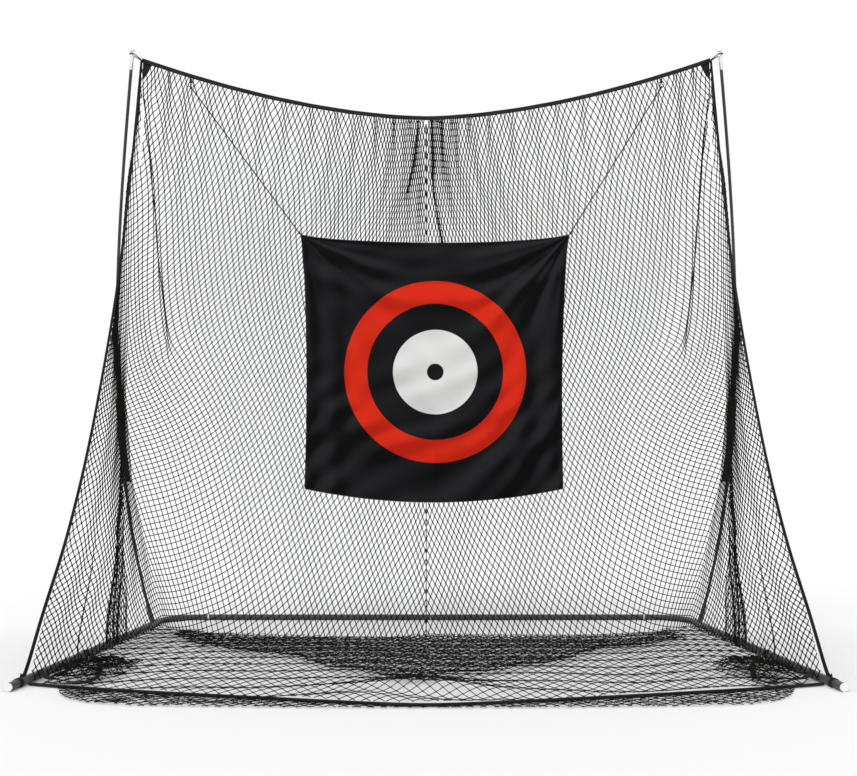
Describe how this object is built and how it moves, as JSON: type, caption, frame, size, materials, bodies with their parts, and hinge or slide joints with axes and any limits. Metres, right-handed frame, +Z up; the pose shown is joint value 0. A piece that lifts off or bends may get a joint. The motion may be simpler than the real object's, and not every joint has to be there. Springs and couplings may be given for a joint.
{
  "type": "golf hitting net",
  "caption": "Free-standing golf hitting net: a U-shaped tube base and bowed poles hold an open-fronted net bag with a hung ring target.",
  "frame": {"origin": "on the floor at the middle of the footprint", "axes": "+X to the right seen from the open front, +Y to the back of the net, +Z up; the open front faces -Y"},
  "size_m": [2.7058, 1.7236, 2.4016],
  "materials": {
    "powder_coated_tube": "satin black powder coat on steel tube",
    "plated_connector": "zinc-plated steel",
    "nickel_button": "nickel-plated snap button",
    "spring_steel": "blued spring strip",
    "pale_end_plug": "pale moulded plastic",
    "fibreglass_pole": "black fibreglass rod, semi-gloss",
    "bright_ferrule": "bright turned metal",
    "netting": "black knotted twine, matte",
    "webbing": "black woven webbing, matte",
    "floor_rope": "black braided rope, matte",
    "sleeve_fabric": "black coated oxford cloth",
    "elastic_cord": "black braided elastic",
    "target_fabric": "black satin oxford with a printed ring and disc"
  },
  "bodies": {
    "net_and_frame": {"left_front_rail": "powder_coated_tube", "right_front_rail": "powder_coated_tube", "left_rear_rail": "powder_coated_tube", "right_rear_rail": "powder_coated_tube", "left_back_tube": "powder_coated_tube", "right_back_tube": "powder_coated_tube", "left_pole_socket": "powder_coated_tube", "right_pole_socket": "powder_coated_tube", "left_rail_connector": "plated_connector", "right_rail_connector": "plated_connector", "left_back_connector": "plated_connector", "right_back_connector": "plated_connector", "centre_back_connector": "plated_connector", "left_rail_button_spring": "spring_steel", "right_rail_button_spring": "spring_steel", "left_back_button_spring": "spring_steel", "right_back_button_spring": "spring_steel", "centre_back_button_spring": "spring_steel", "left_end_plug": "pale_end_plug", "right_end_plug": "pale_end_plug", "left_lower_pole": "fibreglass_pole", "right_lower_pole": "fibreglass_pole", "left_upper_pole": "fibreglass_pole", "right_upper_pole": "fibreglass_pole", "left_pole_ferrule": "bright_ferrule", "right_pole_ferrule": "bright_ferrule", "left_tip_ferrule": "bright_ferrule", "right_tip_ferrule": "bright_ferrule", "net_back_panel": "netting", "net_left_side_panel": "netting", "net_right_side_panel": "netting", "net_floor_panel": "netting", "net_front_skirt": "netting", "top_webbing": "webbing", "left_side_binding": "webbing", "right_side_binding": "webbing", "centre_seam_tape": "webbing", "front_floor_rope": "floor_rope", "left_pole_sleeve": "sleeve_fabric", "right_pole_sleeve": "sleeve_fabric", "left_corner_loop": "elastic_cord", "right_corner_loop": "elastic_cord", "left_front_rail_strap": "webbing", "right_front_rail_strap": "webbing", "left_middle_rail_strap": "webbing", "right_middle_rail_strap": "webbing", "left_rear_rail_strap": "webbing", "right_rear_rail_strap": "webbing", "left_cord_tab": "webbing", "right_cord_tab": "webbing"},
    "target": {"target_sheet": "target_fabric", "left_target_cord": "elastic_cord", "right_target_cord": "elastic_cord"},
    "left_rail_button_body": {"left_rail_button": "nickel_button"},
    "right_rail_button_body": {"right_rail_button": "nickel_button"},
    "left_back_button_body": {"left_back_button": "nickel_button"},
    "right_back_button_body": {"right_back_button": "nickel_button"},
    "centre_back_button_body": {"centre_back_button": "nickel_button"}
  },
  "joints": [
    {"name": "target_swing", "type": "hinge", "parent": "net_and_frame", "child": "target", "pos_m": [0, 0.342, 2.2648], "axis": [1, 0, 0], "range_deg": [-30, 3.5]},
    {"name": "left_rail_button_press", "type": "slide", "parent": "net_and_frame", "child": "left_rail_button_body", "axis": [0, 0, -1], "range_m": [0, 0.0035], "stiffness_N_per_m": 300, "springref_m": -0.001, "deforming": ["left_rail_button_spring"]},
    {"name": "right_rail_button_press", "type": "slide", "parent": "net_and_frame", "child": "right_rail_button_body", "axis": [0, 0, -1], "range_m": [0, 0.0035], "stiffness_N_per_m": 300, "springref_m": -0.001, "deforming": ["right_rail_button_spring"]},
    {"name": "left_back_button_press", "type": "slide", "parent": "net_and_frame", "child": "left_back_button_body", "axis": [0, 0, -1], "range_m": [0, 0.0035], "stiffness_N_per_m": 300, "springref_m": -0.001, "deforming": ["left_back_button_spring"]},
    {"name": "right_back_button_press", "type": "slide", "parent": "net_and_frame", "child": "right_back_button_body", "axis": [0, 0, -1], "range_m": [0, 0.0035], "stiffness_N_per_m": 300, "springref_m": -0.001, "deforming": ["right_back_button_spring"]},
    {"name": "centre_back_button_press", "type": "slide", "parent": "net_and_frame", "child": "centre_back_button_body", "axis": [0, 0, -1], "range_m": [0, 0.0035], "stiffness_N_per_m": 300, "springref_m": -0.001, "deforming": ["centre_back_button_spring"]}
  ]
}
